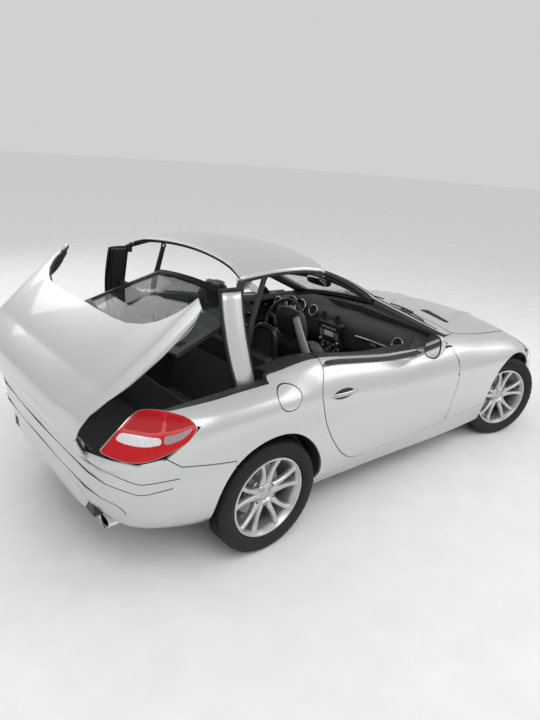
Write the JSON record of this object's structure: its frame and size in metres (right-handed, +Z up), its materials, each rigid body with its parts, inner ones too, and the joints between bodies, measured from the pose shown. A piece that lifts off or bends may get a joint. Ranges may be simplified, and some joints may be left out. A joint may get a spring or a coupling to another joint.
{
  "type": "convertible car with a folding metal roof",
  "caption": "Two-seat convertible car with a folding metal roof caught half open, boot lid raised and front wheels steered.",
  "frame": {"origin": "under the middle of the box, on the ground", "axes": "+X towards the nose, +Y to the car's left, +Z up"},
  "size_m": [4.1336, 1.97, 1.4562],
  "materials": {
    "alloy": "silver painted alloy",
    "black_paint": "satin black",
    "black_plastic": "grained black plastic",
    "cast": "cast iron",
    "chrome": "polished",
    "dash_plastic": "soft grained anthracite",
    "glass": "clear glass, slightly green",
    "lamp_clear": "clear polycarbonate over reflectors",
    "lamp_red": "red and clear lens",
    "leather": "black leather with light grey inserts",
    "paint": "metallic silver paint",
    "rubber": "rubber"
  },
  "bodies": {
    "body": {"platform": "black_paint", "side_left": "paint", "side_right": "paint", "fender_left": "paint", "fender_right": "paint", "front_bumper": "paint", "rear_bumper": "paint", "grille": "black_plastic", "headlamps": "lamp_clear", "tail_lamps": "lamp_red", "cowl": "black_plastic", "windscreen_frame": "paint", "windscreen_glass": "glass", "dashboard": "dash_plastic", "console": "dash_plastic", "seat_left": "leather", "seat_right": "leather", "bulkhead": "black_plastic", "boot_tub": "black_plastic", "exhaust": "chrome", "engine": "cast", "front_subframe": "black_paint", "front_structure": "black_paint", "rear_axle": "black_paint"},
    "steering_wheel": {"steering_wheel": "leather"},
    "knuckle_left": {"front_knuckle_left": "cast"},
    "knuckle_right": {"front_knuckle_right": "cast"},
    "wheel_front_left": {"rim_front_left": "alloy", "tyre_front_left": "rubber"},
    "wheel_front_right": {"rim_front_right": "alloy", "tyre_front_right": "rubber"},
    "wheel_rear_left": {"rim_rear_left": "alloy", "tyre_rear_left": "rubber"},
    "wheel_rear_right": {"rim_rear_right": "alloy", "tyre_rear_right": "rubber"},
    "door_left": {"door_left": "paint", "mirror_left": "paint"},
    "door_right": {"door_right": "paint", "mirror_right": "paint"},
    "bonnet": {"bonnet": "paint"},
    "boot_lid": {"boot_lid": "paint"},
    "main_arms": {"main_arms": "black_paint"},
    "rear_pillars": {"rear_pillars": "paint"},
    "panel_brackets": {"panel_brackets": "black_paint"},
    "roof_panel": {"roof_panel": "paint"},
    "arm_bases": {"arm_bases": "black_paint"},
    "front_arms": {"front_arms": "black_paint"},
    "window_pivots": {"window_pivots": "black_paint"},
    "rear_window": {"rear_window_frame": "black_plastic", "rear_window_glass": "glass"}
  },
  "joints": [
    {"name": "steer_right", "type": "hinge", "parent": "body", "child": "knuckle_right", "pos_m": [1.27, -0.7, 0.317], "axis": [0, 0, 1], "range_deg": [-16.2, 51.8]},
    {"name": "steer_left", "type": "hinge", "parent": "body", "child": "knuckle_left", "pos_m": [1.27, 0.7, 0.317], "axis": [0, 0, 1], "range_deg": [-16.2, 51.8]},
    {"name": "steering_wheel_turn", "type": "hinge", "parent": "body", "child": "steering_wheel", "pos_m": [-0.03, 0.37, 0.77], "axis": [-0.9063, 0, 0.4226], "range_deg": [-243, 777]},
    {"name": "wheel_spin_front_left", "type": "hinge", "parent": "knuckle_left", "child": "wheel_front_left", "pos_m": [1.28987, 0.76189, 0.317], "axis": [0.3057, 0.9521, 0], "continuous": true},
    {"name": "wheel_spin_front_right", "type": "hinge", "parent": "knuckle_right", "child": "wheel_front_right", "pos_m": [1.25013, -0.76189, 0.317], "axis": [0.3057, 0.9521, 0], "continuous": true},
    {"name": "wheel_spin_rear_left", "type": "hinge", "parent": "body", "child": "wheel_rear_left", "pos_m": [-1.16, 0.7705, 0.314], "axis": [0, 1, 0], "continuous": true},
    {"name": "wheel_spin_rear_right", "type": "hinge", "parent": "body", "child": "wheel_rear_right", "pos_m": [-1.16, -0.7705, 0.314], "axis": [0, 1, 0], "continuous": true},
    {"name": "door_left_swing", "type": "hinge", "parent": "body", "child": "door_left", "pos_m": [0.459, 0.878, 0.65], "axis": [0, 0, -1], "range_deg": [0, 65]},
    {"name": "door_right_swing", "type": "hinge", "parent": "body", "child": "door_right", "pos_m": [0.459, -0.878, 0.65], "axis": [0, 0, 1], "range_deg": [0, 65]},
    {"name": "bonnet_lift", "type": "hinge", "parent": "body", "child": "bonnet", "pos_m": [0.567, 0, 0.9], "axis": [0, -1, 0], "range_deg": [0, 50]},
    {"name": "boot_lid_tilt", "type": "hinge", "parent": "body", "child": "boot_lid", "pos_m": [-1.985, 0, 0.7], "axis": [0, -1, 0], "range_deg": [-38, 0]},
    {"name": "roof_close", "type": "hinge", "parent": "body", "child": "main_arms", "pos_m": [-1.193, 0, 0.76], "axis": [0, -1, 0], "range_deg": [-41.65, 0]},
    {"name": "roof_fold", "type": "hinge", "parent": "main_arms", "child": "rear_pillars", "pos_m": [-1.193, 0, 0.76], "axis": [0, -1, 0], "range_deg": [0, 86]},
    {"name": "panel_level_fold", "type": "hinge", "parent": "rear_pillars", "child": "panel_brackets", "pos_m": [-1.181, 0, 1.372], "axis": [0, -1, 0], "range_deg": [-86.05, 0]},
    {"name": "panel_level_close", "type": "hinge", "parent": "panel_brackets", "child": "roof_panel", "pos_m": [-1.181, 0, 1.372], "axis": [0, -1, 0], "range_deg": [0, 41.65]},
    {"name": "arm_close", "type": "hinge", "parent": "body", "child": "arm_bases", "pos_m": [-1.002, 0, 0.756], "axis": [0, -1, 0], "range_deg": [-41.65, 0]},
    {"name": "arm_fold", "type": "hinge", "parent": "arm_bases", "child": "front_arms", "pos_m": [-1.002, 0, 0.756], "axis": [0, -1, 0], "range_deg": [0, 86.05]},
    {"name": "window_nest", "type": "hinge", "parent": "rear_pillars", "child": "window_pivots", "pos_m": [-1.243, 0, 1.13], "axis": [0, -1, 0], "range_deg": [-107.05, 0]},
    {"name": "window_close", "type": "hinge", "parent": "window_pivots", "child": "rear_window", "pos_m": [-1.243, 0, 1.13], "axis": [0, -1, 0], "range_deg": [0, 54.65]}
  ],
  "couplings": [
    {"joint": "steer_left", "follows": "steer_right", "ratio": 1},
    {"joint": "steering_wheel_turn", "follows": "steer_right", "ratio": 15},
    {"joint": "roof_close", "follows": "boot_lid_tilt", "ratio": 1.0947},
    {"joint": "arm_close", "follows": "boot_lid_tilt", "ratio": 1.0947},
    {"joint": "panel_level_close", "follows": "boot_lid_tilt", "ratio": -1.0947},
    {"joint": "window_close", "follows": "boot_lid_tilt", "ratio": -1.4368},
    {"joint": "panel_level_fold", "follows": "roof_fold", "ratio": -1},
    {"joint": "arm_fold", "follows": "roof_fold", "ratio": 1},
    {"joint": "window_nest", "follows": "roof_fold", "ratio": -1.2442}
  ]
}
